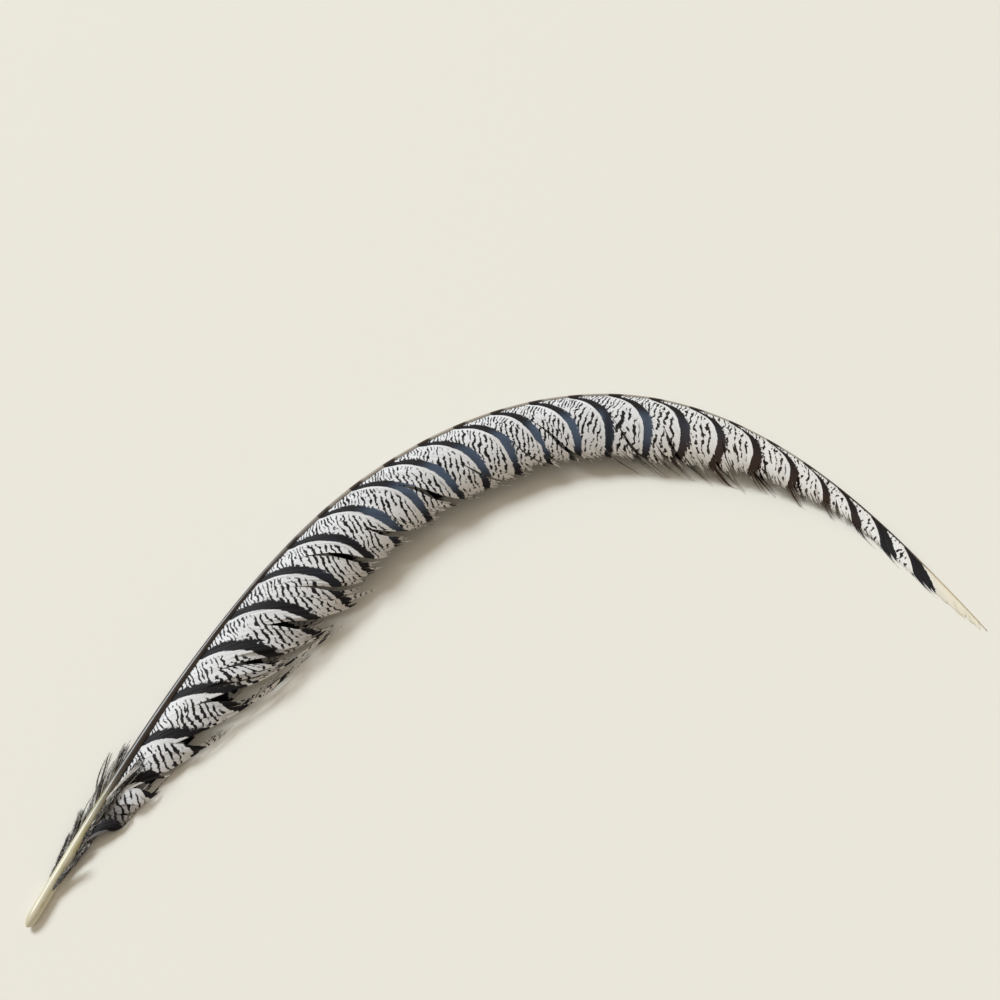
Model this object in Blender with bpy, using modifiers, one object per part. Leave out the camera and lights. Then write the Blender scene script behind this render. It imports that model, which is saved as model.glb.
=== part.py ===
"""A pheasant's central tail feather, lying on its side on a level surface.

Metres, +Z up. The feather curves in the level plane: its quill end is at -X, its tip at +X, and
its back, the outside of the curve, looks towards +Y. The shaft is carried clear of the surface
by the lower vane, whose outer strip lies flat.
"""

import bpy
import numpy as np

# The shaft.
LENGTH = 0.514  # from the quill's end to the tip, along the shaft
QUILL_RADIUS = 0.00195
TIP_RADIUS = 0.00022
TAPER = 0.8  # the power by which the shaft thins
ROUNDED_END = 0.005  # the length over which the quill's end is rounded
END_HOLE = 0.15  # radians of that rounding left off at the very end
END_RINGS = 5

# The curve that the shaft follows, seen from above.
START_HEADING = 1.277  # radians from +X at the quill's end
STEADY_TURN = 0.755  # radians turned evenly over the whole length
BEND_TURN = 1.736  # radians turned in the bend
BEND_AT, BEND_SPREAD = 0.642, 0.234  # shares of the length

# How high the shaft lies, and how far its back leans from upright to the outside.
LIFT = 0.0160
LIFT_FROM, LIFT_FULL = 0.02, 0.40
DROP_FROM, DROP_END = 0.62, 0.98
LEAN = np.radians(45)
TIP_LEAN = np.radians(28)
TIP_LEAN_FROM, TIP_LEAN_FULL = 0.76, 0.90
ROOF = np.radians(25)  # how far each vane slopes from square to the shaft's back

# The vanes.
UPPER_WIDTH = 0.0335
LOWER_WIDTH = 0.0315
WIDEN_FROM, WIDEN_END = 0.03, 0.30  # where the vanes grow to their full width
NARROW_FROM, NARROW_END = 0.66, 0.90  # where they narrow to the tip's strip
STRIP_END = 0.08  # the last share of the length, over which the strip runs out
STRIP_BLUNTNESS = 0.8  # the power by which it runs out
VANE_FROM = 0.115
UPPER_END, LOWER_END = 0.988, 0.900
UPPER_CURL, UPPER_TIP_CURL = np.radians(78), np.radians(40)
TIP_CURL_FROM, TIP_CURL_FULL = 0.74, 0.92
SPIKE = 0.22  # the tip's narrow strip, as a share of the full width
VANE_THICK = 0.0005
GAP = 0.0003  # between neighbouring pieces

# The down at the foot of the vanes.
DOWN_FROM, DOWN_END = 0.040, 0.108
DOWN_WIDTH = 0.0095
DOWN_END_WIDTH = 0.25  # at its two ends, as a share of that width
DOWN_FULLNESS = 0.8  # the power by which it swells between them
DOWN_THICK = 0.0020
DOWN_GAP = GAP + DOWN_THICK * 0.1
UPPER_DOWN_SLOPE, LOWER_DOWN_SLOPE = np.radians(12), np.radians(186)

# How finely each piece is divided.
SHAFT_STATIONS, VANE_STATIONS, DOWN_STATIONS = 100, 84, 14
UPPER_COLUMNS, CURL_COLUMNS, DOWN_COLUMNS = 9, 8, 5
FLAT_COLUMNS = (0.3, 1.0)  # shares of the strip that lies flat
ROUTE_STATIONS = 2001


def ease(low, high, t):
    """0 below low, 1 above high and a smooth rise between them."""
    x = np.clip((t - low) / (high - low), 0, 1)
    return x * x * (3 - 2 * x)


def shaft_radius(t):
    return TIP_RADIUS + (QUILL_RADIUS - TIP_RADIUS) * (1 - t) ** TAPER


def shaft_height(t):
    rise = ease(LIFT_FROM, LIFT_FULL, t)
    fall = 1 - ease(DROP_FROM, DROP_END, t)
    return shaft_radius(t) + LIFT * rise * fall


def heading(t):
    bend = np.tanh((t - BEND_AT) / BEND_SPREAD) + np.tanh(BEND_AT / BEND_SPREAD)
    return START_HEADING - STEADY_TURN * t - BEND_TURN * bend / 2


def shaft_line(t):
    """Points on the shaft's middle line, and the level direction to the inside of its curve."""
    fine = np.linspace(0, 1, ROUTE_STATIONS)
    step = LENGTH / (len(fine) - 1)
    ahead = np.stack([np.cos(heading(fine)), np.sin(heading(fine))], 1)
    run = (ahead[1:] + ahead[:-1]) / 2 * step
    route = np.concatenate([np.zeros((1, 2)), np.cumsum(run, 0)])
    x = np.interp(t, fine, route[:, 0])
    y = np.interp(t, fine, route[:, 1])
    inside = np.stack([np.sin(heading(t)), -np.cos(heading(t)), 0 * t], -1)
    return np.stack([x, y, shaft_height(t)], -1), inside


def vane_width(t, full):
    """The vane's width, square to the shaft: a long body and a narrow strip at the tip."""
    body = ease(WIDEN_FROM, WIDEN_END, t) * (1 - ease(NARROW_FROM, NARROW_END, t))
    strip = np.clip((1 - t) / STRIP_END, 0, 1) ** STRIP_BLUNTNESS
    return full * ((1 - SPIKE) * body + SPIKE * strip)


def lean(t):
    return LEAN + (TIP_LEAN - LEAN) * ease(TIP_LEAN_FROM, TIP_LEAN_FULL, t)


def place(t, out, up):
    """World points from shares of the length, distances to the inside and heights."""
    line, inside = shaft_line(t)
    points = line + inside * out[..., None]
    points[..., 2] = up
    return points


def upper_section(t, across):
    """Distance to the inside, and height, at this distance across the upper vane."""
    start = lean(t) - ROOF
    uncurled = ease(TIP_CURL_FROM, TIP_CURL_FULL, t)
    curl = UPPER_CURL + (UPPER_TIP_CURL - UPPER_CURL) * uncurled
    bow = vane_width(t, UPPER_WIDTH) / curl
    root = shaft_radius(t) + GAP
    angle = start - across / bow
    out = root * np.cos(start) + bow * (np.sin(start) - np.sin(angle))
    up = shaft_height(t) + root * np.sin(start) + bow * (np.cos(angle) - np.cos(start))
    return out, np.maximum(up, VANE_THICK / 2)


def lower_bow(t):
    """The lower vane's slope at the shaft, its height there, its radius and how far it curves."""
    start = np.pi + lean(t) + ROOF
    root = shaft_radius(t) + GAP
    top = shaft_height(t) + root * np.sin(start)
    bow = (top - VANE_THICK / 2) / (1 - np.cos(start))
    return start, root, bow, bow * (2 * np.pi - start)


def lower_section(t, across):
    """The lower vane curls in until it meets the surface, and then lies flat on it."""
    start, root, bow, landing = lower_bow(t)
    curved = np.minimum(across, landing)
    angle = start + curved / bow
    out = root * np.cos(start) + bow * (np.sin(angle) - np.sin(start))
    up = VANE_THICK / 2 + bow * (1 - np.cos(angle))
    return out + (across - curved), up


def sheet(name, collection, points, thickness):
    """A thin solid on a grid of points, rows along the shaft and columns across the vane."""
    rows, columns = points.shape[:2]
    faces = []
    for i in range(rows - 1):
        for j in range(columns - 1):
            a = i * columns + j
            faces.append((a, a + columns, a + columns + 1, a + 1))
    mesh = bpy.data.meshes.new(name)
    mesh.from_pydata(points.reshape(-1, 3).tolist(), [], faces)
    mesh.polygons.foreach_set("use_smooth", [True] * len(faces))
    obj = bpy.data.objects.new(name, mesh)
    collection.objects.link(obj)
    solid = obj.modifiers.new("thickness", "SOLIDIFY")
    solid.thickness = thickness
    solid.offset = 0
    return obj


def material(name, colour, roughness):
    made = bpy.data.materials.new(name)
    made.use_nodes = True
    shader = made.node_tree.nodes["Principled BSDF"]
    shader.inputs["Base Color"].default_value = (*colour, 1)
    shader.inputs["Roughness"].default_value = roughness
    return made


def make_shaft(collection):
    """The quill and the rachis: one round tapering rod with a rounded lower end."""
    turn = np.linspace(END_HOLE, np.pi / 2, END_RINGS)
    end = (1 - np.cos(turn)) * ROUNDED_END / LENGTH
    share = np.concatenate([end, np.linspace(end[-1], 1, SHAFT_STATIONS)[1:]])
    radii = shaft_radius(share)
    radii[: len(turn)] *= np.sin(turn)
    line, _ = shaft_line(share)
    curve = bpy.data.curves.new("shaft", "CURVE")
    curve.dimensions = "3D"
    curve.bevel_depth = 1.0
    curve.bevel_resolution = 4
    curve.use_fill_caps = True
    spline = curve.splines.new("POLY")
    spline.points.add(len(share) - 1)
    for point, at, radius in zip(spline.points, line, radii):
        point.co = (*at, 1)
        point.radius = radius
    spline.use_smooth = True
    obj = bpy.data.objects.new("shaft", curve)
    collection.objects.link(obj)
    return obj


def make_upper_vane(collection):
    t = np.linspace(VANE_FROM, UPPER_END, VANE_STATIONS)[:, None]
    across = np.linspace(0, 1, UPPER_COLUMNS)[None, :] * vane_width(t, UPPER_WIDTH)
    t = t + 0 * across
    out, up = upper_section(t, across)
    return sheet("upper_vane", collection, place(t, out, up), VANE_THICK)


def make_lower_vane(collection):
    """Its first columns span the curl, and the rest the strip that lies flat."""
    t = np.linspace(VANE_FROM, LOWER_END, VANE_STATIONS)[:, None]
    landing = lower_bow(t)[3]
    width = vane_width(t, LOWER_WIDTH)
    curl = np.linspace(0, 1, CURL_COLUMNS)[None, :] * landing
    flat = landing + np.array([FLAT_COLUMNS]) * (width - landing)
    across = np.concatenate([curl, flat], 1)
    t = t + 0 * across
    out, up = lower_section(t, across)
    return sheet("lower_vane", collection, place(t, out, up), VANE_THICK)


def make_down(name, collection, slope):
    """A soft tuft beside the shaft, leaving it at this slope from level."""
    t = np.linspace(DOWN_FROM, DOWN_END, DOWN_STATIONS)[:, None]
    share = (t - DOWN_FROM) / (DOWN_END - DOWN_FROM)
    swell = np.sin(np.pi * share) ** DOWN_FULLNESS
    width = DOWN_WIDTH * (DOWN_END_WIDTH + (1 - DOWN_END_WIDTH) * swell)
    root = shaft_radius(t) + DOWN_GAP
    across = root + np.linspace(0, 1, DOWN_COLUMNS)[None, :] * width
    t = t + 0 * across
    out = across * np.cos(slope)
    up = shaft_height(t) + across * np.sin(slope)
    up = np.maximum(up, DOWN_THICK / 2)
    return sheet(name, collection, place(t, out, up), DOWN_THICK)


def centre_on_origin(objects):
    """Puts the middle of the whole feather's footprint on the origin, without lifting it."""
    bpy.context.view_layer.update()
    graph = bpy.context.evaluated_depsgraph_get()
    found = []
    for obj in objects:
        mesh = obj.evaluated_get(graph).to_mesh()
        found.extend(tuple(vertex.co) for vertex in mesh.vertices)
        obj.evaluated_get(graph).to_mesh_clear()
    found = np.array(found)
    middle = (found.min(0) + found.max(0)) / 2
    for obj in objects:
        obj.location = (-middle[0], -middle[1], 0)


def main():
    for obj in list(bpy.data.objects):
        bpy.data.objects.remove(obj, do_unlink=True)
    feather = bpy.data.collections.new("pheasant_tail_feather")
    bpy.context.scene.collection.children.link(feather)
    horn = material("shaft", (0.42, 0.36, 0.24), 0.35)
    barbs = material("vane", (0.62, 0.60, 0.55), 0.60)
    fluff = material("down", (0.14, 0.12, 0.10), 0.90)
    made = [
        (make_shaft(feather), horn),
        (make_upper_vane(feather), barbs),
        (make_lower_vane(feather), barbs),
        (make_down("upper_down", feather, UPPER_DOWN_SLOPE), fluff),
        (make_down("lower_down", feather, LOWER_DOWN_SLOPE), fluff),
    ]
    for obj, worn in made:
        obj.data.materials.append(worn)
    centre_on_origin([obj for obj, _ in made])


main()
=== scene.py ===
"""The look of a pheasant's central tail feather that lies on its side on a pale surface.

Every barb of both vanes is a ribbon of its own, hooked to its neighbours over most of its length
and free at its end. Distances are in metres. They are in millimetres where a name ends in _mm or
_MM, and in the materials. A place along the shaft is a share of its length where it is called t.
"""

import bmesh
import bpy
import numpy as np
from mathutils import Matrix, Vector


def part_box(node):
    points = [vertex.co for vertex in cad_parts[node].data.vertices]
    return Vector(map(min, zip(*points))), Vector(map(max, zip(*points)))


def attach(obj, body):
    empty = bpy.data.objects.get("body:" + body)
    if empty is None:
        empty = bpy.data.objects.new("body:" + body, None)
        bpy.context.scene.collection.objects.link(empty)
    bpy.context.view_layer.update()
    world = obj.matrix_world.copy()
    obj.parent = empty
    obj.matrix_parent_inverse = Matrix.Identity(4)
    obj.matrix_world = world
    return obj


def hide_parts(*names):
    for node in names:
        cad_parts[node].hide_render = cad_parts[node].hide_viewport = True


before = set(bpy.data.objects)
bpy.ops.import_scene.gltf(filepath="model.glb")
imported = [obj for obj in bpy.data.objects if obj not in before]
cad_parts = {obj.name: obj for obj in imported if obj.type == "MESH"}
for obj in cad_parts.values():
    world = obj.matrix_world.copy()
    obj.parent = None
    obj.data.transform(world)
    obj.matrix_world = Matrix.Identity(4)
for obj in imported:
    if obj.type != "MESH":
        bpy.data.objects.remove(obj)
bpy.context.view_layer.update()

# The feather, as in the frame.
LENGTH = 0.514  # from the quill's end to the tip, along the shaft
QUILL_RADIUS, TIP_RADIUS, TAPER = 0.00195, 0.00022, 0.8
ROUNDED_END = 0.005  # the length over which the quill's end is rounded
START_HEADING, STEADY_TURN, BEND_TURN = 1.277, 0.755, 1.736  # radians
BEND_AT, BEND_SPREAD = 0.642, 0.234
LIFT = 0.0160
LIFT_FROM, LIFT_FULL, DROP_FROM, DROP_END = 0.02, 0.40, 0.62, 0.98
LEAN, TIP_LEAN, ROOF = np.radians(45), np.radians(28), np.radians(25)
TIP_LEAN_FROM, TIP_LEAN_FULL = 0.76, 0.90
UPPER_WIDTH, LOWER_WIDTH = 0.0335, 0.0315
SPIKE = 0.22  # the tip's narrow strip, as a share of the full width
WIDEN_FROM, WIDEN_END, NARROW_FROM, NARROW_END = 0.03, 0.30, 0.66, 0.90
STRIP_END, STRIP_BLUNTNESS = 0.08, 0.8
UPPER_CURL, UPPER_TIP_CURL = np.radians(78), np.radians(40)
TIP_CURL_FROM, TIP_CURL_FULL = 0.74, 0.92
VANE_THICK, GAP = 0.0005, 0.0003
UPPER_DOWN_SLOPE, LOWER_DOWN_SLOPE = np.radians(12), np.radians(186)

# The shaft's route, which is worked out a little past the tip, in fine steps.
ROUTE_END, ROUTE_STATIONS = 1.04, 4001

# Limits that keep thin places sound.
LEAST_CURLED_WIDTH = 0.003
LEAST_BOW = 0.0005
LEAST_BARB = 0.0012
LEAST_HEIGHT = 0.0001
LAST_WIDTH_AT = 0.9995

# The barbs.
BARB_PITCH = 0.00037  # between roots, along the shaft
ROOT_JITTER = 0.12  # in pitches
BARB_POINTS = 34
POINT_CROWDING = 0.92  # under 1, the points of a barb stand closer near its end
BARB_HALF_WIDTH = 0.00022
BARB_TIP_WIDTH = 0.00005
BARB_RIDGE = 0.00008
BARB_SUNK = 0.7  # how deep in the shaft a barb starts, in the shaft's radii
FIRST_BARB, LAST_UPPER, LAST_LOWER = 0.056, 0.991, 0.880
MARGIN = 0.94  # the share of a barb's width at which its own bar is looked up
TUFT_SPAN = (0.0012, 0.0062)  # of barbs whose ends cling together
GROUP_SPAN = (0.008, 0.030)  # of barbs that shift and lift together
ACROSS_RIBBON = np.array([-1.0, 0.0, 1.0])
UPPER_SEED, LOWER_SEED = 11, 12

# Where the barbs change, as first and last shares of the shaft's length.
LOOSE_UNTIL = (0.13, 0.30)
CALM_UNTIL = (0.50, 0.66)
FRAY_FROM, FRAY_UNTIL = (0.72, 0.84), (0.90, 0.93)
LONGER_FROM = (0.88, 0.94)
LONGER_BY = 0.30  # of their own length

# The line of a barb: how far it has run towards the tip, in its own widths.
SWEEP, SWEEP_TURN = 1.12, 0.28
FLICK, FLICK_FROM = 2.60, 0.70
TIP_SWEEP, TIP_SWEEP_FROM = 1.15, (0.74, 0.97)
BASE_SWEEP, BASE_SWEEP_UNTIL = 0.35, (0.12, 0.24)

# The splits of each vane, as distances along the shaft.
UPPER_SPLITS = (
    (0.058, 0.090, 0.131, 0.166, 0.197, 0.222, 0.251)
    + (0.271, 0.308, 0.334, 0.366, 0.389, 0.407, 0.428)
)
BASE_SPLITS = (0.044, 0.074, 0.111, 0.149)
LOWER_SPLITS = (0.135, 0.210, 0.290, 0.345, 0.395, 0.430)
UPPER_SPLIT_SEED, BASE_SPLIT_SEED, LOWER_SPLIT_SEED = 5, 6, 8
SPLIT_DEPTH, SPLIT_GAP, SPLIT_RISE = (0.05, 0.50), (0.0014, 0.0042), (-0.0007, 0.0014)
SPLIT_WIDER_BY, SPLIT_WIDER_UNTIL = 1.8, (0.10, 0.22)
REACH_BEHIND, REACH_PAST = 0.016, 0.012  # over which a split's pull on its neighbours fades

# The bars.
BAR_SPACING_MM = 18.3
BAR_PHASE = 0.43
BAR_RUN_MM = 14.5  # how far a bar runs towards the tip from the shaft to the margin
LAST_BAR = 26.0
BAR_SHARE = 0.26
BARS_STRAIGHTEN = (0.64, 0.82)

# The loose barbs at the foot of the vanes.
DOWN_COUNT, DOWN_POINTS = 330, 16
DOWN_FROM, DOWN_STRETCH = 0.020, 0.078
LOCK_SPAN = (0.003, 0.009)
DOWN_HALF_WIDTH, FIBRE_HALF_WIDTH = 0.00022, 0.00005
FIBRES, FIBRE_POINTS = 34, 5
UPPER_DOWN_SEED, LOWER_DOWN_SEED = 21, 22

# The shaft's skin.
SHAFT_SIDES, SHAFT_RINGS = 20, 420
END_HOLE, END_RINGS = 0.12, 7
FLATTENED, FLATTENED_FROM = 0.28, (0.10, 0.30)
GROOVE, GROOVE_WIDTH, GROOVE_FROM = 0.16, 0.08, (0.12, 0.22)
SHAFT_BULGE = 0.06
SHAFT_LEAST_HEIGHT = 0.00003

# The maps that the materials are baked on.
MAP_ROWS, SHAFT_MAP_ROWS = 4, 6
MAP_BEFORE, MAP_SPARE = 0.004, 0.056  # room for barbs that run past their stretch
MAP_EDGE, MAP_ROOM, MAP_WIDER = 0.03, 0.0025, 1.1
CELL_EDGE = 0.08
THICK_CELLS, THIN_CELLS = (0.0, 0.3), (0.31, 1.0)

# Colours, as linear red, green and blue.
SILVER, DULL_SILVER, WARM_WHITE = (0.87, 0.885, 0.94), (0.73, 0.735, 0.745), (0.90, 0.885, 0.85)
# The first colour on the next line is painted shade: the buff that the outer margin of both vanes is
# mixed towards.
MARGIN_PAINTED_SHADE, TIP_CREAM, STONE = (0.58, 0.52, 0.45), (0.84, 0.78, 0.63), (0.55, 0.53, 0.49)
BASE_BROWN, BAR_BROWN = (0.06, 0.048, 0.042), (0.050, 0.028, 0.019)
# The last colour on the next line is a painted blue sheen: a reflection of the light painted into the
# colour of the bars.
BLACK, WORN_BLACK, PAINTED_SHEEN = (0.012, 0.011, 0.013), (0.028, 0.027, 0.032), (0.085, 0.119, 0.183)
HORN, DEEP_HORN, GREEN_HORN = (0.74, 0.70, 0.55), (0.58, 0.53, 0.37), (0.52, 0.49, 0.24)
RACHIS_BROWN, RACHIS_STREAK = (0.016, 0.011, 0.009), (0.055, 0.036, 0.025)
RACHIS_GREY, RACHIS_DIM, RACHIS_TIP = (0.52, 0.49, 0.44), (0.30, 0.27, 0.23), (0.50, 0.40, 0.27)
DOWN_DARK, DOWN_PALE, DOWN_DUSTY = (0.020, 0.015, 0.013), (0.66, 0.64, 0.60), (0.09, 0.07, 0.06)
FLOOR_COLOUR, FAR_COLOUR = (0.85, 0.83, 0.77), (0.81, 0.79, 0.69)
ROOM_LIGHT, WINDOW_LIGHT = (1.0, 0.88, 0.72), (0.88, 0.95, 1.0)

# Where markings come in, or fade out where the first is larger, in millimetres along the shaft.
STROKES_TURN, STROKES_DOT, STROKES_THIN = (310.0, 400.0), (330.0, 420.0), (380.0, 450.0)
GROUND_WARMS, BASE_DARKENS = (300.0, 400.0), (52.0, 40.0)
# Where the painted blue sheen, a painted reflection, comes in and fades out.
SHEEN_IN, SHEEN_OUT = (140.0, 210.0), (395.0, 335.0)
BROWN_IN, BROWN_OUT = (320.0, 380.0), (465.0, 435.0)
GREY_IN, GREY_OUT = (130.0, 210.0), (440.0, 400.0)
HORN_ENDS, TIP_PALES = (34.0, 70.0), (468.0, 488.0)

# The strokes between the bars.
FINE_STROKE_MM, COARSE_STROKE_MM = 1.75, 2.80
STROKE_EDGE = 0.06

# The view and the light.
CAMERA_BACK, CAMERA_SIDE, CAMERA_HEIGHT = 0.2259, -0.0187, 0.345
LOOKING_DOWN = np.radians(49.75)
LENS_MM = 37.7
FLOOR_REACH = 40.0
ROOM_STRENGTH = 0.45
WINDOW_STRENGTH, WINDOW_WIDTH = 2.6, np.radians(24)
WINDOW_AIM = (0.55, -0.42, -0.70)


def ease(low, high, t):
    """0 below low, 1 above high and a smooth rise between them."""
    x = np.clip((t - low) / (high - low), 0, 1)
    return x * x * (3 - 2 * x)


def shaft_radius(t):
    return TIP_RADIUS + (QUILL_RADIUS - TIP_RADIUS) * (1 - np.clip(t, 0, 1)) ** TAPER


def shaft_height(t):
    rise = ease(LIFT_FROM, LIFT_FULL, t)
    fall = 1 - ease(DROP_FROM, DROP_END, t)
    return shaft_radius(t) + LIFT * rise * fall


def heading(t):
    bend = np.tanh((t - BEND_AT) / BEND_SPREAD) + np.tanh(BEND_AT / BEND_SPREAD)
    return START_HEADING - STEADY_TURN * t - BEND_TURN * bend / 2


FINE = np.linspace(0, ROUTE_END, ROUTE_STATIONS)
AHEAD = np.stack([np.cos(heading(FINE)), np.sin(heading(FINE))], 1)
STEPS = (AHEAD[1:] + AHEAD[:-1]) / 2 * LENGTH * (FINE[1] - FINE[0])
ROUTE = np.concatenate([np.zeros((1, 2)), np.cumsum(STEPS, 0)])


def route_shift():
    """What brings the route's own coordinates to those of the frame's shaft."""
    low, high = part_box("shaft")
    t = FINE[FINE <= 1]
    on = ROUTE[FINE <= 1]
    turn = heading(t)
    reach = shaft_radius(t)[:, None] * np.abs(np.stack([np.sin(turn), np.cos(turn)], 1))
    own = ((on - reach).min(0) + (on + reach).max(0)) / 2
    return (np.array(low[:2]) + np.array(high[:2])) / 2 - own


SHIFT = route_shift()


def place(t, out, up):
    """World points from shares of the length, distances to the inside and heights."""
    x = np.interp(t, FINE, ROUTE[:, 0]) + SHIFT[0] + np.sin(heading(t)) * out
    y = np.interp(t, FINE, ROUTE[:, 1]) + SHIFT[1] - np.cos(heading(t)) * out
    return np.stack([x, y, up], -1)


def vane_width(t, full):
    """The vane's width, square to the shaft: a long body and a narrow strip at the tip."""
    body = ease(WIDEN_FROM, WIDEN_END, t) * (1 - ease(NARROW_FROM, NARROW_END, t))
    strip = np.clip((1 - t) / STRIP_END, 0, 1) ** STRIP_BLUNTNESS
    return full * ((1 - SPIKE) * body + SPIKE * strip)


def lean(t):
    return LEAN + (TIP_LEAN - LEAN) * ease(TIP_LEAN_FROM, TIP_LEAN_FULL, t)


def upper_surface(t, across, proud):
    """Points on the upper vane, this far across it and proud of it."""
    start = lean(t) - ROOF
    curl = UPPER_CURL + (UPPER_TIP_CURL - UPPER_CURL) * ease(TIP_CURL_FROM, TIP_CURL_FULL, t)
    bow = np.maximum(vane_width(t, UPPER_WIDTH), LEAST_CURLED_WIDTH) / curl
    root = shaft_radius(t) + GAP
    angle = start - across / bow
    out = root * np.cos(start) + bow * (np.sin(start) - np.sin(angle)) - proud * np.sin(angle)
    up = shaft_height(t) + root * np.sin(start) + bow * (np.cos(angle) - np.cos(start))
    return place(t, out, np.maximum(up + proud * np.cos(angle), LEAST_HEIGHT))


def lower_surface(t, across, proud):
    """Points on the lower vane, which curls in until it lies on the floor."""
    start = np.pi + lean(t) + ROOF
    root = shaft_radius(t) + GAP
    top = shaft_height(t) + root * np.sin(start)
    bow = np.maximum((top - VANE_THICK / 2) / (1 - np.cos(start)), LEAST_BOW)
    curved = np.minimum(across, bow * (2 * np.pi - start))
    angle = start + curved / bow
    out = root * np.cos(start) + bow * (np.sin(angle) - np.sin(start)) + proud * np.sin(angle)
    up = VANE_THICK / 2 + bow * (1 - np.cos(angle)) - proud * np.cos(angle)
    return place(t, out + (across - curved), np.maximum(up, LEAST_HEIGHT))


def wander(at, step, rng):
    """Smooth random numbers from -1 to 1 along a line, with a new one every step."""
    knots = np.arange(at.min() - step, at.max() + 2 * step, step)
    values = rng.uniform(-1, 1, len(knots))
    where = (at - knots[0]) / step
    low = np.floor(where).astype(int)
    part = ease(0, 1, where - low)
    return values[low] * (1 - part) + values[low + 1] * part


def clumps(root, low, high, rng):
    """Parts the roots into clumps of random span: each root's clump, its middle and its span."""
    edges = [root.min()]
    while edges[-1] < root.max():
        edges.append(edges[-1] + rng.uniform(low, high))
    edges = np.array(edges)
    number = np.clip(np.searchsorted(edges, root, side="right") - 1, 0, len(edges) - 2)
    return number, (edges[number] + edges[number + 1]) / 2, edges[number + 1] - edges[number]


def shared(low, high, clump, rng):
    """One random number for each clump, given to all that are in it."""
    return rng.uniform(low, high, clump.max() + 1)[clump]


def sweep(x, t):
    """How far a barb has run towards the tip, in its own widths, at this share of its width."""
    run = SWEEP * x - SWEEP_TURN * x**2 + FLICK * np.clip(x - FLICK_FROM, 0, 1) ** 2
    near_base = 1 - ease(*BASE_SWEEP_UNTIL, t)
    return run * (1 + TIP_SWEEP * ease(*TIP_SWEEP_FROM, t) + BASE_SWEEP * near_base)


def bar_run(share, t):
    """How far a bar has run towards the tip, in metres: beside the shaft first, then square to it."""
    near_tip = ease(*BARS_STRAIGHTEN, t)
    hook = 0.0015 + 0.0020 * ease(0.15, 0.35, t) + 0.0040 * ease(0.55, 0.70, t)
    hook = hook - 0.0068 * ease(0.80, 0.88, t)
    hook = hook * (1 - np.exp(-share / 0.08))
    out = 1 - (1 - np.clip(share, 0, 1)) ** (2.1 - 0.6 * near_tip)
    back = 0.30 * np.clip((share - 0.45) / 0.55, 0, 1) ** 1.6 * (1 - 0.8 * near_tip)
    run = BAR_RUN_MM / 1000 * (out - back) * (0.6 + 0.4 * ease(0.08, 0.25, t))
    return hook + run * (1 - 0.15 * near_tip)


def barb_widths(root, full):
    """How far out each barb ends, so that the ends follow the vane's outline."""
    width = vane_width(root / LENGTH, full)
    for _ in range(12):
        end = (root + width * sweep(1.0, root / LENGTH)) / LENGTH
        width = 0.5 * width + 0.5 * vane_width(np.minimum(end, LAST_WIDTH_AT), full)
    return np.maximum(width, LEAST_BARB) * (1 + LONGER_BY * ease(*LONGER_FROM, root / LENGTH))


class Row:
    """The roots of one vane's barbs, and what each shares with its neighbours."""

    def __init__(self, full, first, last, seed):
        self.rng = np.random.default_rng(seed)
        even = np.arange(first, last, BARB_PITCH / LENGTH) * LENGTH
        self.count = len(even)
        self.root = even + self.each(-ROOT_JITTER, ROOT_JITTER) * BARB_PITCH
        self.t = self.root / LENGTH
        self.width = barb_widths(self.root, full)
        self.tuft, self.middle, self.span = clumps(self.root, *TUFT_SPAN, self.rng)
        self.group, _, _ = clumps(self.root, *GROUP_SPAN, self.rng)
        self.loose = 1 - ease(*LOOSE_UNTIL, self.t)
        self.frayed = ease(*FRAY_FROM, self.t) * (1 - ease(*FRAY_UNTIL, self.t))
        self.calm = 1 - ease(*CALM_UNTIL, self.t)

    def each(self, low, high):
        return self.rng.uniform(low, high, self.count)

    def by_tuft(self, low, high):
        return shared(low, high, self.tuft, self.rng)

    def by_group(self, low, high):
        return shared(low, high, self.group, self.rng)

    def wander(self, step):
        return wander(self.root, step, self.rng)

    def bar_at_margin(self):
        """The number of the bar at each barb's end, and how far through it the end is."""
        at = self.root + self.width * sweep(MARGIN, self.t) - bar_run(MARGIN, self.t)
        return at * 1000 / BAR_SPACING_MM + BAR_PHASE


def barb_reaches(row):
    """How much of its width each barb fills, and which are dark wisps and which are thin hairs."""
    aside = np.abs(row.root - row.middle) / row.span
    reach = 0.97 + 0.025 * row.wander(0.02) - 0.04 * aside * row.by_tuft(0, 1)
    reach = reach + row.each(-0.02, 0.01) + row.by_tuft(-0.03, 0.02)
    reach = reach - row.frayed * row.by_tuft(0, 0.10) + row.loose * row.by_tuft(-0.16, 0.34)
    phase = row.bar_at_margin() % 1
    in_bar = ease(0.0, 0.06, phase) * (1 - ease(BAR_SHARE - 0.02, BAR_SHARE + 0.05, phase))
    reach = reach + 0.055 * in_bar * row.each(0, 1)
    chosen = row.rng.random(row.count) < 0.35
    wisp = (in_bar > 0.5) * chosen * (row.rng.random(row.count) > row.calm * 1.2)
    reach = reach + wisp * row.each(0.04, 0.20)
    hair = np.maximum(row.rng.random(row.count) < 0.06 - 0.04 * row.calm, wisp)
    return reach + hair * row.each(0.02, 0.09), wisp, hair


def open_splits(row, x, along, splits):
    """Moves the barbs apart at each split: their new places, and how far its lip is raised."""
    lift = np.zeros_like(along)
    for at, depth, gap, rise in splits:
        behind = (row.root < at) * np.exp(-np.clip(at - row.root, 0, 1) / REACH_BEHIND)
        past = (row.root >= at) * np.exp(-np.clip(row.root - at, 0, 1) / REACH_PAST)
        opened = ease(depth, 1.0, x) ** 0.8
        along = along + gap * opened * (0.55 * past - 0.45 * behind)[:, None]
        lift = lift + rise * opened * past[:, None]
    return along, lift


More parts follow.
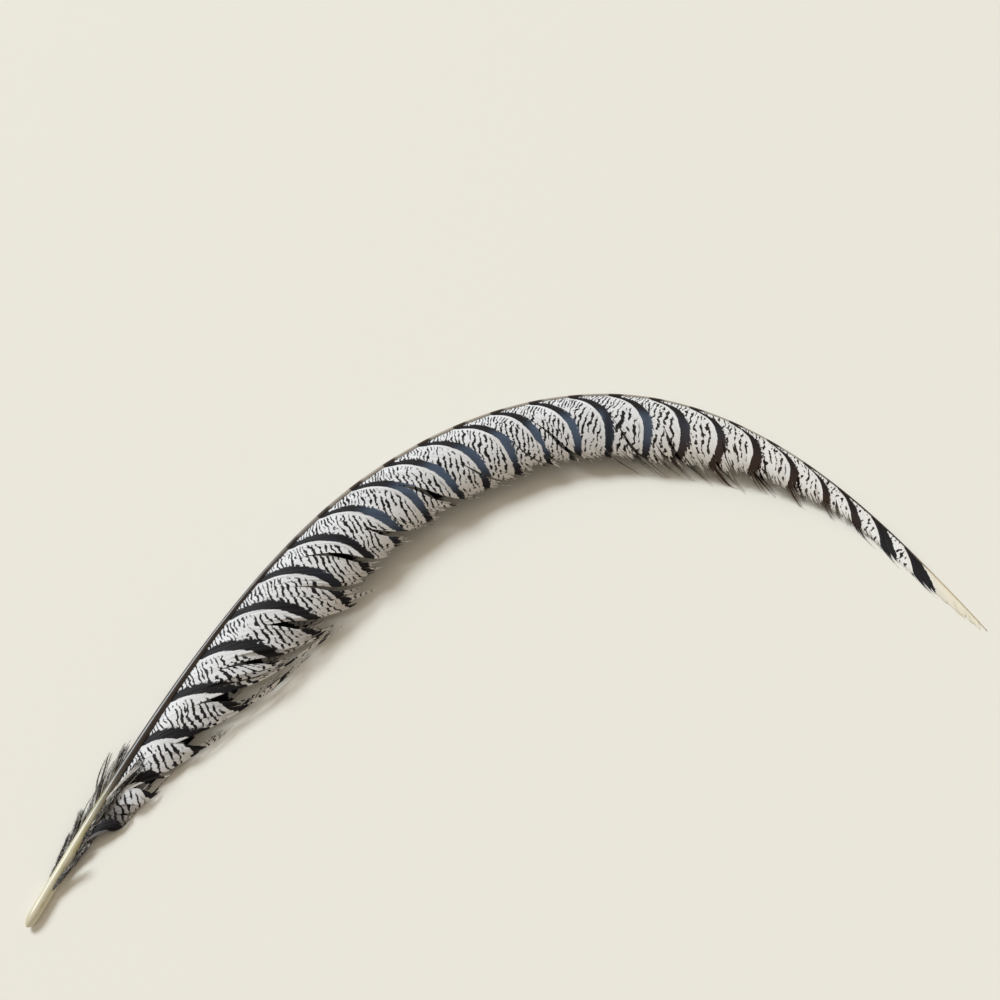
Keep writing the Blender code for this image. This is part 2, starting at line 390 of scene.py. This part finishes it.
def disorder(row, x, along, hair, splits):
    """The barbs' real places along the shaft and how proud they lie, from their even places."""
    free = ease(0.74, 1.0, x) * (1 + 0.8 * row.loose)[:, None]
    hooked = row.calm * (1 - row.loose)
    pull = (1 - 0.55 * hooked) * row.by_tuft(0.1, 0.75) * (row.root - row.middle)
    along = along - pull[:, None] * free
    along = along + (row.wander(0.009) * 0.0009)[:, None] * ease(0.3, 1, x)
    along = along + (row.each(-1, 1) * 0.0004 * (1 + 1.5 * hair))[:, None] * free
    along, lift = open_splits(row, x, along, splits)
    lift = lift + row.by_group(-0.00035, 0.00035)[:, None] * ease(0.15, 0.9, x)
    lift = lift + 0.00060 * row.wander(0.013)[:, None] * ease(0.1, 0.9, x)
    lift = lift + row.by_tuft(-0.0004, 0.0004)[:, None] * free**2
    lift = lift + (row.by_tuft(-0.0014, 0.0052) * row.loose)[:, None] * ease(0.2, 1, x)
    lift = lift + 0.00010 * row.each(-1, 1)[:, None]
    return along, lift * np.clip(row.width / 0.012, 0.15, 1)[:, None]


def barb_half_widths(row, x, hair):
    """Half the width of each barb along its length: even at first and thin at its end."""
    narrow_from = 0.86 + 0.06 * row.calm * (1 - row.loose) - 0.12 * row.frayed - 0.10 * hair
    narrow = ease(narrow_from[:, None], 1.0, x)
    half = BARB_HALF_WIDTH * (1 - narrow) + BARB_TIP_WIDTH
    return half * (1 + 0.25 * row.each(-1, 1)[:, None])


def barbs(surface, full, first, last, splits, seed):
    """One vane's barbs: their points, two sets of numbers for the markings, and their map."""
    row = Row(full, first, last, seed)
    x = np.linspace(0, 1, BARB_POINTS)[None, :] ** POINT_CROWDING
    reach, wisp, hair = barb_reaches(row)
    across = x * (row.width * reach)[:, None]
    along = row.root[:, None] + row.width[:, None] * sweep(across / row.width[:, None], row.t[:, None])
    shift = row.by_group(-0.0010, 0.0010) + row.each(-0.00016, 0.00016)
    marked = along + shift[:, None] * ease(0, 0.5, x)
    along, lift = disorder(row, x, along, hair, splits)
    across = across - (BARB_SUNK * shaft_radius(row.t))[:, None] * (1 - ease(0, 0.08, x))

    run_along, run_across = np.gradient(along, axis=1), np.gradient(across, axis=1)
    half = barb_half_widths(row, x, hair) / np.sqrt(run_along**2 + run_across**2)
    aside = (run_across * half)[..., None] * ACROSS_RIBBON
    along, marked = along[..., None] + aside, marked[..., None] + aside
    across = across[..., None] - (run_along * half)[..., None] * ACROSS_RIBBON
    ridge = BARB_RIDGE * (1 - ease(0.85, 1, x))[..., None] * (1 - np.abs(ACROSS_RIBBON))
    points = surface(along / LENGTH, across, lift[..., None] + ridge)
    chance = row.each(0, 1)[:, None, None]
    points[..., 2] = np.maximum(points[..., 2], LEAST_HEIGHT + 0.0003 * chance)

    share = np.clip(across / row.width[:, None, None], 0, 1.1)
    bars = (marked - bar_run(share, row.t[:, None, None])) * 1000 / BAR_SPACING_MM + BAR_PHASE
    own_bar = np.floor(row.bar_at_margin()) + 0.13
    bars = np.where(wisp[:, None, None] & (share > 0.90), own_bar[:, None, None], bars)
    one = np.ones_like(share)
    mark = np.stack([bars, marked * 1000, across * 1000], -1)
    spot = np.stack([share, chance * one, ACROSS_RIBBON * one], -1)
    return points, mark, spot, folded_map(along, across, row.root, full)


def folded_map(along, across, root, widest):
    """A map of the vane in rows, one above the other, each a stretch of its barbs."""
    low, high = root.min(), root.max() + 1e-6
    row = np.floor((root - low) / (high - low) * MAP_ROWS)
    stretch = (high - low) / MAP_ROWS
    begin = (low + row * stretch)[:, None, None]
    u = (along - begin + MAP_BEFORE) / (stretch + MAP_SPARE)
    out = (across + MAP_ROOM) / (widest * MAP_WIDER + 2 * MAP_ROOM)
    v = (row[:, None, None] + MAP_EDGE + (1 - 2 * MAP_EDGE) * out) / MAP_ROWS
    return np.stack([np.clip(u, 0, 1), np.clip(v, 0, 1)], -1)


def ribbon_quads(points, first):
    """The corners of each face of a grid of ribbons whose points are numbered from first."""
    at = first + np.arange(points[..., 0].size).reshape(points.shape[:3])
    corners = [at[:, :-1, :-1], at[:, 1:, :-1], at[:, 1:, 1:], at[:, :-1, 1:]]
    return np.stack(corners, -1).reshape(-1, 4)


def ribbon_mesh(name, *grids):
    """One mesh of ribbons. Each grid holds points, two sets of markings and places on the map."""
    quads, filled = [], 0
    for points, *_ in grids:
        quads.append(ribbon_quads(points, filled))
        filled += points[..., 0].size
    quads = np.concatenate(quads)
    points, mark, spot, bake = (
        np.concatenate([part.reshape(-1, part.shape[-1]) for part in parts]) for parts in zip(*grids)
    )
    mesh = bpy.data.meshes.new(name)
    mesh.vertices.add(filled)
    mesh.vertices.foreach_set("co", points.astype(np.float32).ravel())
    mesh.loops.add(quads.size)
    mesh.loops.foreach_set("vertex_index", quads.astype(np.int32).ravel())
    mesh.polygons.add(len(quads))
    mesh.polygons.foreach_set("loop_start", np.arange(0, quads.size, 4, dtype=np.int32))
    mesh.update(calc_edges=True)
    mesh.polygons.foreach_set("use_smooth", np.ones(len(quads), bool))
    for label, values in (("mark", mark), ("spot", spot)):
        held = mesh.attributes.new(label, "FLOAT_VECTOR", "POINT")
        held.data.foreach_set("vector", values.astype(np.float32).ravel())
    layer = mesh.uv_layers.new(name="OFBake")
    layer.uv.foreach_set("vector", bake[quads.ravel()].astype(np.float32).ravel())
    obj = bpy.data.objects.new(name, mesh)
    bpy.context.scene.collection.objects.link(obj)
    return obj


class Nodes:
    """Short ways to add and join the shader nodes of a new material."""

    def __init__(self, name):
        self.material = bpy.data.materials.new(name)
        self.material.use_nodes = True
        self.tree = self.material.node_tree
        self.shader = self.tree.nodes["Principled BSDF"]

    def feed(self, socket, value):
        if isinstance(value, bpy.types.NodeSocket):
            self.tree.links.new(value, socket)
        else:
            socket.default_value = value

    def maths(self, operation, a, b=0.0, c=0.0):
        node = self.tree.nodes.new("ShaderNodeMath")
        node.operation = operation
        for socket, value in zip(node.inputs, (a, b, c)):
            self.feed(socket, value)
        return node.outputs[0]

    def times(self, a, b):
        return self.maths("MULTIPLY", a, b)

    def scaled(self, value, factor, start):
        """The value times the factor, counted from start."""
        return self.maths("MULTIPLY_ADD", value, factor, start)

    def rest(self, value):
        return self.maths("SUBTRACT", 1.0, value)

    def attribute(self, name):
        node = self.tree.nodes.new("ShaderNodeAttribute")
        node.attribute_name = name
        split = self.tree.nodes.new("ShaderNodeSeparateXYZ")
        self.feed(split.inputs[0], node.outputs["Vector"])
        return split.outputs

    def pattern(self, x, y, x_scale, y_scale, layer=0.0, detail=2.0):
        """Soft noise from 0 to 1 over x and y. Another layer is another pattern."""
        at = self.tree.nodes.new("ShaderNodeCombineXYZ")
        for socket, value in zip(at.inputs, (self.times(x, x_scale), self.times(y, y_scale), layer)):
            self.feed(socket, value)
        node = self.tree.nodes.new("ShaderNodeTexNoise")
        self.feed(node.inputs["Vector"], at.outputs[0])
        for label, value in (("Scale", 1.0), ("Detail", detail), ("Roughness", 0.5)):
            node.inputs[label].default_value = value
        return node.outputs["Fac"]

    def step(self, value, low, high):
        """0 below low and 1 above high, or the other way round if low is the larger."""
        node = self.tree.nodes.new("ShaderNodeMapRange")
        node.interpolation_type = "SMOOTHSTEP"
        for label, number in (("Value", value), ("From Min", low), ("From Max", high)):
            self.feed(node.inputs[label], number)
        return node.outputs[0]

    def between(self, value, rise, fall):
        return self.times(self.step(value, *rise), self.step(value, *fall))

    def mix(self, factor, a, b):
        node = self.tree.nodes.new("ShaderNodeMix")
        node.data_type = "RGBA"
        self.feed(node.inputs["Factor"], factor)
        self.feed(node.inputs["A"], (*a, 1) if isinstance(a, tuple) else a)
        self.feed(node.inputs["B"], (*b, 1) if isinstance(b, tuple) else b)
        return node.outputs["Result"]

    def bump(self, height, strength, distance):
        node = self.tree.nodes.new("ShaderNodeBump")
        node.inputs["Strength"].default_value = strength
        node.inputs["Distance"].default_value = distance
        self.feed(node.inputs["Height"], height)
        self.feed(self.shader.inputs["Normal"], node.outputs[0])


def vermiculation(n, along, across, share, jitter):
    """Thin wavy dark strokes that run across the vane, forking and broken, finest by the shaft."""
    drift = n.pattern(along, across, 0.11, 0.13, 2.0)
    wave = n.pattern(along, across, 0.45, 0.42)
    lead = n.scaled(n.step(along, *STROKES_TURN), -1.15, 0.78)
    slant = n.times(across, n.scaled(across, -0.010, lead))
    moved = n.maths("ADD", slant, along)
    moved = n.scaled(drift, 5.5, moved)
    moved = n.scaled(wave, 1.7, moved)
    moved = n.scaled(jitter, 0.30, moved)
    fine = n.maths("COSINE", n.times(moved, 2 * np.pi / FINE_STROKE_MM))
    coarse = n.maths("COSINE", n.times(moved, 2 * np.pi / COARSE_STROKE_MM))
    outward = n.step(n.scaled(wave, 0.5, share), 0.38, 0.62)
    stripes = n.maths("ADD", n.times(coarse, outward), n.times(fine, n.rest(outward)))
    cells = n.pattern(moved, across, 0.52, 0.17, 9.0, detail=1)
    breaks = n.pattern(along, across, 0.50, 0.50, 5.0, detail=1)
    dotted = n.maths("ADD", n.step(share, 0.45, 1.0), n.step(along, *STROKES_DOT))
    value = n.scaled(n.maths("SUBTRACT", cells, 0.5), 1.8, n.times(stripes, 0.5))
    value = n.scaled(n.maths("SUBTRACT", breaks, 0.56), n.scaled(dotted, 1.6, 1.2), value)
    level = n.scaled(n.step(share, 0.55, 1.0), 0.10, 0.13)
    level = n.scaled(n.step(along, *STROKES_THIN), 0.16, level)
    return n.step(value, n.maths("SUBTRACT", level, STROKE_EDGE), n.maths("ADD", level, STROKE_EDGE))


def black_bars(n, bars, along, across, jitter):
    """Bars with a crisp edge towards the quill and a ragged one towards the tip."""
    phase = n.maths("FRACT", bars)
    ragged = n.pattern(along, across, 0.9, 0.75)
    end = n.scaled(ragged, 0.20, BAR_SHARE - 0.10)
    late = n.step(n.maths("FLOOR", bars), LAST_BAR - 3.4, LAST_BAR + 0.5)
    end = n.scaled(late, 0.34, end)
    end = n.scaled(jitter, 0.03, end)
    past = n.step(phase, n.maths("ADD", end, 0.02), n.maths("SUBTRACT", end, 0.02))
    return n.times(n.step(phase, 0.0, 0.014), past)


def dark_markings(n, bar, bars, along, across, share, jitter):
    """The bars, and the strokes, which stop short of the next bar and end at the last one."""
    strokes = vermiculation(n, along, across, share, jitter)
    strokes = n.times(strokes, n.step(n.maths("FRACT", bars), 0.94, 0.86))
    strokes = n.times(strokes, n.step(bars, LAST_BAR + 0.1, LAST_BAR))
    dark = n.maths("MAXIMUM", bar, strokes)
    return n.times(dark, n.step(bars, LAST_BAR + 0.98, LAST_BAR + 0.96))


def pale_ground(n, bars, along, across, share, chance):
    """Silvery white, warmer and greyer in places, with painted shade in buff towards the outer margin,
    cream at the tip and dark at the base.
    """
    pale = n.mix(n.pattern(along, across, 0.05, 0.08, 3.0), SILVER, DULL_SILVER)
    pale = n.mix(n.times(n.step(along, *GROUND_WARMS), 0.6), pale, WARM_WHITE)
    # Painted shade: towards its outer margin each vane is mixed towards buff, standing for the shade
    # that falls there.
    pale = n.mix(n.times(n.step(share, 0.62, 1.0), 0.60), pale, MARGIN_PAINTED_SHADE)
    pale = n.mix(n.step(bars, LAST_BAR - 0.5, LAST_BAR + 1.5), pale, TIP_CREAM)
    pale = n.mix(n.times(n.step(chance, 0.75, 1.0), 0.30), pale, STONE)
    return n.mix(n.times(n.step(along, *BASE_DARKENS), 0.90), pale, BASE_BROWN)


def dark_colour(n, bar, along, share, chance, blue):
    """Black, with a painted blue sheen (a reflection of the light painted into the colour) in the
    middle of the bars, and brown towards the outer third.
    """
    # The painted sheen, a painted reflection, lies in the middle of the bars, in patches, and is as
    # strong as blue says.
    painted_glint = n.between(share, (0.22, 0.45), (0.92, 0.66))
    painted_glint = n.times(painted_glint, n.step(n.pattern(along, 0.0, 0.06, 0.0, detail=1), 0.34, 0.52))
    painted_glint = n.times(painted_glint, n.between(along, SHEEN_IN, SHEEN_OUT))
    painted_glint = n.times(painted_glint, n.times(bar, blue))
    black = n.mix(n.times(n.step(chance, 0.55, 1.0), 0.5), BLACK, WORN_BLACK)
    black = n.mix(painted_glint, black, PAINTED_SHEEN)
    outer = n.scaled(n.step(share, 0.25, 0.75), 0.60, 0.15)
    return n.mix(n.times(n.between(along, BROWN_IN, BROWN_OUT), outer), black, BAR_BROWN)


def vane_material(name, blue):
    """Silvery white ground, arched black bars with one crisp edge, and dark strokes between. The bars
    carry a painted blue sheen as strong as blue says, and the outer margin carries painted shade.
    """
    n = Nodes(name)
    bars, along, across = n.attribute("mark")
    share, chance, _ = n.attribute("spot")
    jitter = n.maths("SUBTRACT", chance, 0.5)
    bar = black_bars(n, bars, along, across, jitter)
    dark = dark_markings(n, bar, bars, along, across, share, jitter)
    pale = pale_ground(n, bars, along, across, share, chance)
    black = dark_colour(n, bar, along, share, chance, blue)
    n.feed(n.shader.inputs["Base Color"], n.mix(dark, pale, black))
    grain = n.pattern(along, across, 6.0, 1.4)
    n.feed(n.shader.inputs["Roughness"], n.scaled(grain, 0.25, 0.42))
    n.bump(grain, 0.35, 0.00006)
    n.shader.inputs["Specular IOR Level"].default_value = 0.15
    return n.material


def shaft_material():
    """Greenish horn at the quill, brown and grey along the vanes, and pale again at the tip."""
    n = Nodes("shaft_horn")
    along, around, _ = n.attribute("mark")
    streak = n.pattern(along, around, 0.10, 6.0, detail=3)
    blot = n.pattern(along, around, 0.12, 1.0, 5.0)
    horn = n.mix(streak, HORN, DEEP_HORN)
    horn = n.mix(n.step(blot, 0.52, 0.70), horn, GREEN_HORN)
    brown = n.mix(streak, RACHIS_BROWN, RACHIS_STREAK)
    colour = n.mix(n.step(n.scaled(streak, 20.0, along), *HORN_ENDS), horn, brown)
    bars = n.maths("ADD", n.maths("DIVIDE", along, BAR_SPACING_MM), BAR_PHASE)
    barred = n.between(n.maths("FRACT", bars), (0.0, 0.05), (BAR_SHARE + 0.20, BAR_SHARE + 0.05))
    grey = n.mix(streak, RACHIS_GREY, RACHIS_DIM)
    colour = n.mix(n.times(n.between(along, GREY_IN, GREY_OUT), n.rest(barred)), colour, grey)
    colour = n.mix(n.step(along, *TIP_PALES), colour, RACHIS_TIP)
    n.feed(n.shader.inputs["Base Color"], colour)
    n.feed(n.shader.inputs["Roughness"], n.scaled(streak, 0.25, 0.22))
    n.bump(streak, 0.25, 0.0001)
    n.shader.inputs["Coat Weight"].default_value = 0.25
    n.shader.inputs["Coat Roughness"].default_value = 0.25
    return n.material


def down_material():
    """Brownish black loose barbs with pale stretches."""
    n = Nodes("loose_barbs")
    along = n.attribute("mark")[0]
    chance = n.attribute("spot")[1]
    band = n.pattern(along, chance, 0.20, 3.0, detail=1)
    colour = n.mix(n.step(band, 0.56, 0.60), DOWN_DARK, DOWN_PALE)
    colour = n.mix(n.times(n.step(chance, 0.6, 1.0), 0.35), colour, DOWN_DUSTY)
    n.feed(n.shader.inputs["Base Color"], colour)
    n.feed(n.shader.inputs["Roughness"], n.scaled(band, 0.2, 0.6))
    n.bump(band, 0.2, 0.00005)
    return n.material


def make_vane(name, node, surface, full, first, last, splits, seed, worn):
    obj = ribbon_mesh(name, barbs(surface, full, first, last, splits, seed))
    obj.data.materials.append(worn)
    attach(obj, "root")
    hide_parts(node)


def make_shaft(worn):
    """The quill and rachis, flattened on the underside with a shallow groove."""
    turn = np.linspace(END_HOLE, np.pi / 2, END_RINGS)
    end = (1 - np.cos(turn)) * ROUNDED_END / LENGTH
    t = np.concatenate([end, np.linspace(end[-1], 1, SHAFT_RINGS)[1:]])
    radius = shaft_radius(t) * (1 - FLATTENED * ease(*FLATTENED_FROM, t))
    radius[: len(turn)] *= np.sin(turn)
    angle = np.linspace(0, 2 * np.pi, SHAFT_SIDES + 1)[None, :]
    from_back = angle - (np.pi / 2 + lean(t)[:, None])
    shaped = ease(*GROOVE_FROM, t)[:, None]
    groove = 1 - GROOVE * shaped * np.exp(-(((np.cos(from_back) + 1) / GROOVE_WIDTH) ** 2))
    bulge = 1 + SHAFT_BULGE * shaped * np.sin(from_back) ** 2
    reach = radius[:, None] * groove * bulge
    out = reach * np.cos(angle)
    up = shaft_height(t)[:, None] + reach * np.sin(angle)
    t, angle = t[:, None] + 0 * out, angle + 0 * out
    points = place(t, out, np.maximum(up, SHAFT_LEAST_HEIGHT))
    mark = np.stack([t * LENGTH * 1000, np.cos(angle), np.sin(angle)], -1)
    row = np.floor(t * (SHAFT_MAP_ROWS - 0.0001))
    u = 0.02 + 0.96 * (t * SHAFT_MAP_ROWS - row)
    v = (row + 0.04 + 0.92 * angle / (2 * np.pi)) / SHAFT_MAP_ROWS
    bake = np.stack([u, v], -1)
    obj = ribbon_mesh("shaft_skin", (points[None], mark[None], mark[None], bake[None]))
    cap_ends(obj, len(t), SHAFT_SIDES + 1)
    obj.data.materials.append(worn)
    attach(obj, "root")
    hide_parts("shaft")


def cap_ends(obj, rings, around):
    """Closes both ends of the shaft, each with one face."""
    work = bmesh.new()
    work.from_mesh(obj.data)
    work.verts.ensure_lookup_table()
    for first in (0, (rings - 1) * around):
        face = work.faces.new([work.verts[first + k] for k in range(around)])
        face.smooth = True
    bmesh.ops.recalc_face_normals(work, faces=work.faces)
    work.to_mesh(obj.data)
    work.free()


def strips(lines, half, sides, marks, chances):
    """Flat tapering ribbons along lines, an array of ribbons by points by xyz."""
    run = np.gradient(lines, axis=1)
    flat = np.cross(run, [0.0, 0.0, 1.0])
    flat = flat / np.maximum(np.linalg.norm(flat, axis=-1, keepdims=True), 1e-9)
    x = np.linspace(0, 1, lines.shape[1])[None, :, None]
    thin = half * (1 - 0.8 * x**1.5)
    points = lines[:, :, None, :] + flat[:, :, None, :] * (thin * sides)[..., None]
    points[..., 2] += thin * (1 - np.abs(sides)) * 0.5
    one = np.ones(points.shape[:3])
    chance = chances[:, None, None] * one
    mark = np.stack([marks[:, None, None] * one + 6 * x, chance, one], -1)
    spot = np.stack([x * one, chance, sides * one], -1)
    return points, mark, spot


def cell_map(count, long, wide, low, high):
    """A place of its own on the map for each ribbon, between two heights of the map."""
    columns = int(np.ceil((count / (high - low)) ** 0.5))
    rows = int(np.ceil(count / columns))
    cell = np.arange(count)[:, None, None]
    x = np.linspace(CELL_EDGE, 1 - CELL_EDGE, long)[None, :, None]
    y = np.linspace(CELL_EDGE, 1 - CELL_EDGE, wide)[None, None, :]
    u = (cell % columns + x + 0 * y) / columns
    v = low + (high - low) * (cell // columns + y + 0 * x) / rows
    return np.stack([u, v], -1)


def down_lines(slope, rng):
    """The lines of the loose barbs, in locks that hug the shaft, with their roots and chances."""
    root = np.sort(rng.uniform(DOWN_FROM, DOWN_FROM + DOWN_STRETCH, DOWN_COUNT))
    lock, middle, _ = clumps(root, *LOCK_SPAN, rng)
    grown = (root - DOWN_FROM) / DOWN_STRETCH
    length = (0.0100 + 0.0120 * grown) * shared(0.7, 1.2, lock, rng)
    length = length * rng.uniform(0.75, 1.05, DOWN_COUNT)
    spread = shared(0.12, 0.38, lock, rng) + 0.25 * grown + rng.uniform(-0.05, 0.05, DOWN_COUNT)
    tilt = slope + shared(-0.45, 0.45, lock, rng) + rng.uniform(-0.12, 0.12, DOWN_COUNT)
    x = np.linspace(0, 1, DOWN_POINTS)[None, :]
    stray = rng.random(DOWN_COUNT) < 0.004
    length = length * (1 + 0.5 * stray)
    spread = spread + 0.45 * stray
    turn = spread[:, None] * (1 - shared(-0.3, 1.3, lock, rng)[:, None] * x)
    step = length[:, None] / (DOWN_POINTS - 1)
    along = np.cumsum(np.cos(turn) * step, 1) - step
    aside = np.cumsum(np.sin(turn) * step, 1) - step + 0.75 * shaft_radius(root)[:, None]
    along = along - (0.6 * LENGTH * (root - middle))[:, None] * x**2
    t = root[:, None] + along / LENGTH
    waves, phase = shared(2, 6, lock, rng)[:, None], shared(0, 6, lock, rng)[:, None]
    wave = np.sin(x * waves + phase) * 0.0006 * x
    up = shaft_height(t) + aside * np.sin(tilt)[:, None] + wave
    chance = rng.uniform(0, 1, DOWN_COUNT) * 0.4 + shared(0, 0.6, lock, rng)
    return place(t, aside * np.cos(tilt)[:, None], up), root, chance


def fibre_lines(line, rng):
    """Soft side fibres: their lines, which barb each is on and how far along that barb."""
    at = np.tile((np.arange(FIBRES) + 0.7) / FIBRES * 0.95, DOWN_COUNT) * (DOWN_POINTS - 1)
    barb = np.repeat(np.arange(DOWN_COUNT), FIBRES)
    low = at.astype(int)
    part = (at - low)[:, None]
    foot = line[barb, low] * (1 - part) + line[barb, low + 1] * part
    aim = line[barb, low + 1] - line[barb, low]
    aim = aim / np.linalg.norm(aim, axis=1, keepdims=True)
    turned = np.where(np.arange(len(barb)) % 2, 1, -1)[:, None]
    square = np.cross(aim, [0.0, 0.0, 1.0]) * turned
    aim = aim + square * rng.uniform(0.08, 0.30, len(barb))[:, None]
    aim = aim + rng.uniform(-0.16, 0.16, (len(barb), 3))
    reach = rng.uniform(0.0008, 0.0017, len(barb))[:, None, None]
    y = np.linspace(0, 1, FIBRE_POINTS)[None, :, None]
    bend = rng.uniform(-0.35, 0.35, (len(barb), 3))[:, None, :]
    return foot[:, None, :] + aim[:, None, :] * reach * y + bend * reach * y**2, barb, at


def make_down(name, node, slope, seed, worn):
    """Loose dark barbs at the foot of a vane, with soft side fibres."""
    rng = np.random.default_rng(seed)
    line, root, chance = down_lines(slope, rng)
    root_mm = root * LENGTH * 1000
    thick = strips(line, DOWN_HALF_WIDTH, ACROSS_RIBBON, root_mm, chance)
    fibre, barb, at = fibre_lines(line, rng)
    fibre_mm = root_mm[barb] + 6 * at / DOWN_POINTS
    thin = strips(fibre, FIBRE_HALF_WIDTH, np.array([-1.0, 1.0]), fibre_mm, chance[barb])
    grids = []
    for (points, mark, spot), cells in ((thick, THICK_CELLS), (thin, THIN_CELLS)):
        points[..., 2] = np.maximum(points[..., 2], 2 * LEAST_HEIGHT)
        grids.append((points, mark, spot, cell_map(*points.shape[:3], *cells)))
    obj = ribbon_mesh(name, *grids)
    obj.data.materials.append(worn)
    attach(obj, "root")
    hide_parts(node)


def make_floor():
    """A plain pale surface."""
    mesh = bpy.data.meshes.new("floor")
    corners = [(x * FLOOR_REACH, y * FLOOR_REACH, 0) for x, y in ((-1, -1), (1, -1), (1, 1), (-1, 1))]
    mesh.from_pydata(corners, [], [(0, 1, 2, 3)])
    floor = bpy.data.objects.new("floor", mesh)
    bpy.context.scene.collection.objects.link(floor)
    n = Nodes("floor_paper")
    n.shader.inputs["Base Color"].default_value = (*FLOOR_COLOUR, 1)
    n.shader.inputs["Roughness"].default_value = 0.9
    floor.data.materials.append(n.material)


def light_room():
    """A warm soft light from all sides. Past the floor's far edge it shows as pale as the floor."""
    world = bpy.data.worlds.new("room")
    world.use_nodes = True
    nodes, links = world.node_tree.nodes, world.node_tree.links
    glow = nodes["Background"]
    glow.inputs["Color"].default_value = (*ROOM_LIGHT, 1)
    glow.inputs["Strength"].default_value = ROOM_STRENGTH
    pale = nodes.new("ShaderNodeBackground")
    pale.inputs["Color"].default_value = (*FAR_COLOUR, 1)
    path = nodes.new("ShaderNodeLightPath")
    either = nodes.new("ShaderNodeMixShader")
    links.new(path.outputs["Is Camera Ray"], either.inputs[0])
    links.new(glow.outputs[0], either.inputs[1])
    links.new(pale.outputs[0], either.inputs[2])
    links.new(either.outputs[0], nodes["World Output"].inputs["Surface"])
    bpy.context.scene.world = world


def add_window():
    """A wide soft sun, from behind the feather on the left."""
    sun = bpy.data.lights.new("window", "SUN")
    sun.angle = WINDOW_WIDTH
    sun.energy = WINDOW_STRENGTH
    sun.color = WINDOW_LIGHT
    light = bpy.data.objects.new("window", sun)
    light.rotation_euler = Vector(WINDOW_AIM).to_track_quat("-Z", "Y").to_euler()
    bpy.context.scene.collection.objects.link(light)


def add_camera():
    data = bpy.data.cameras.new("camera")
    data.sensor_width = 36
    data.lens = LENS_MM
    data.clip_start = 0.01
    camera = bpy.data.objects.new("camera", data)
    camera.location = (CAMERA_SIDE, -CAMERA_BACK, CAMERA_HEIGHT)
    camera.rotation_euler = (np.pi / 2 - LOOKING_DOWN, 0, 0)
    bpy.context.scene.collection.objects.link(camera)
    bpy.context.scene.camera = camera


def split_list(roots, seed):
    """Splits in a vane: where each starts, how far in, how wide and how far one lip is raised."""
    rng = np.random.default_rng(seed)
    splits = []
    for at in roots:
        wider = 1 + SPLIT_WIDER_BY * (1 - ease(*SPLIT_WIDER_UNTIL, at))
        depth = rng.uniform(*SPLIT_DEPTH)
        gap = rng.uniform(*SPLIT_GAP) * wider
        rise = rng.uniform(*SPLIT_RISE) * wider
        splits.append((at, depth, gap, rise))
    return splits


def make_vanes():
    # The second number sets how strong the painted blue sheen is: strong on the upper vane and weak on
    # the lower one.
    worn = vane_material("upper_barbs", 0.9)
    splits = split_list(UPPER_SPLITS, UPPER_SPLIT_SEED) + split_list(BASE_SPLITS, BASE_SPLIT_SEED)
    shape = (upper_surface, UPPER_WIDTH, FIRST_BARB, LAST_UPPER)
    make_vane("upper_vane_barbs", "upper_vane", *shape, splits, UPPER_SEED, worn)
    worn = vane_material("lower_barbs", 0.3)
    splits = split_list(LOWER_SPLITS, LOWER_SPLIT_SEED)
    shape = (lower_surface, LOWER_WIDTH, FIRST_BARB, LAST_LOWER)
    make_vane("lower_vane_barbs", "lower_vane", *shape, splits, LOWER_SEED, worn)


def make_downs():
    worn = down_material()
    make_down("upper_loose_barbs", "upper_down", UPPER_DOWN_SLOPE, UPPER_DOWN_SEED, worn)
    make_down("lower_loose_barbs", "lower_down", LOWER_DOWN_SLOPE, LOWER_DOWN_SEED, worn)


make_vanes()
make_shaft(shaft_material())
make_downs()
make_floor()
light_room()
add_window()
add_camera()
bpy.context.scene.view_settings.view_transform = "Standard"
